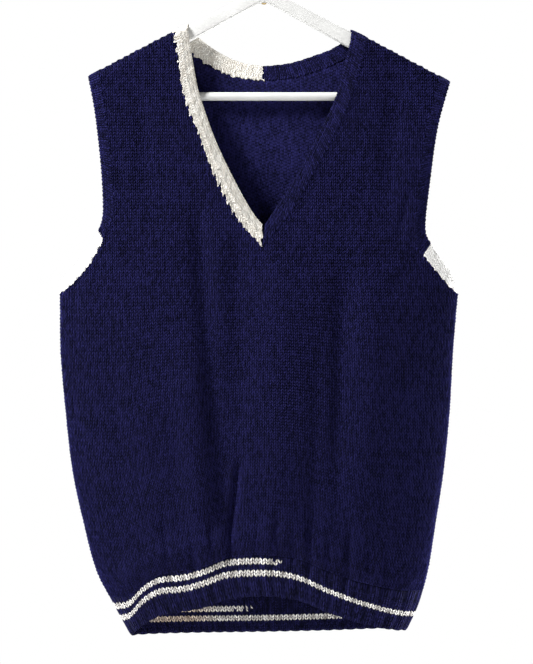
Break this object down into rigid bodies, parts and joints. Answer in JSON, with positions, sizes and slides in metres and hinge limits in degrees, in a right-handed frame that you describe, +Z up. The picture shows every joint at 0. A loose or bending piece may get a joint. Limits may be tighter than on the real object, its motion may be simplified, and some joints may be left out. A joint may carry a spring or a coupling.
{
  "type": "knitted sweater vest on a hanger",
  "caption": "Hand-knitted V-neck sweater vest in navy wool with cream trims, gathered into a ribbed hem, hanging on a white hanger with a trouser bar and wire hook.",
  "frame": {"origin": "inside top of the hanger's hook, where it sits on its rail", "axes": "+Z up, -Y out of the front of the vest, +X towards the wearer's left arm"},
  "size_m": [0.4725, 0.0735, 0.8397],
  "materials": {
    "navy_wool": "matt knitted wool, faintly fuzzy",
    "cream_wool": "matt knitted wool, faintly fuzzy",
    "white_paint": "white satin paint",
    "hook_wire": "satin, slightly aged"
  },
  "bodies": {
    "root": {"front_panel": "navy_wool", "back_panel": "navy_wool", "front_hem_rib": "navy_wool", "back_hem_rib": "navy_wool", "neckband_cream": "cream_wool", "neckband_navy": "navy_wool", "armhole_band_right_navy": "navy_wool", "armhole_band_right_cream": "cream_wool", "armhole_band_left_navy": "navy_wool", "armhole_band_left_cream": "cream_wool", "hanger_bow": "white_paint", "hanger_bar": "white_paint", "hanger_hook": "hook_wire"}
  },
  "joints": []
}
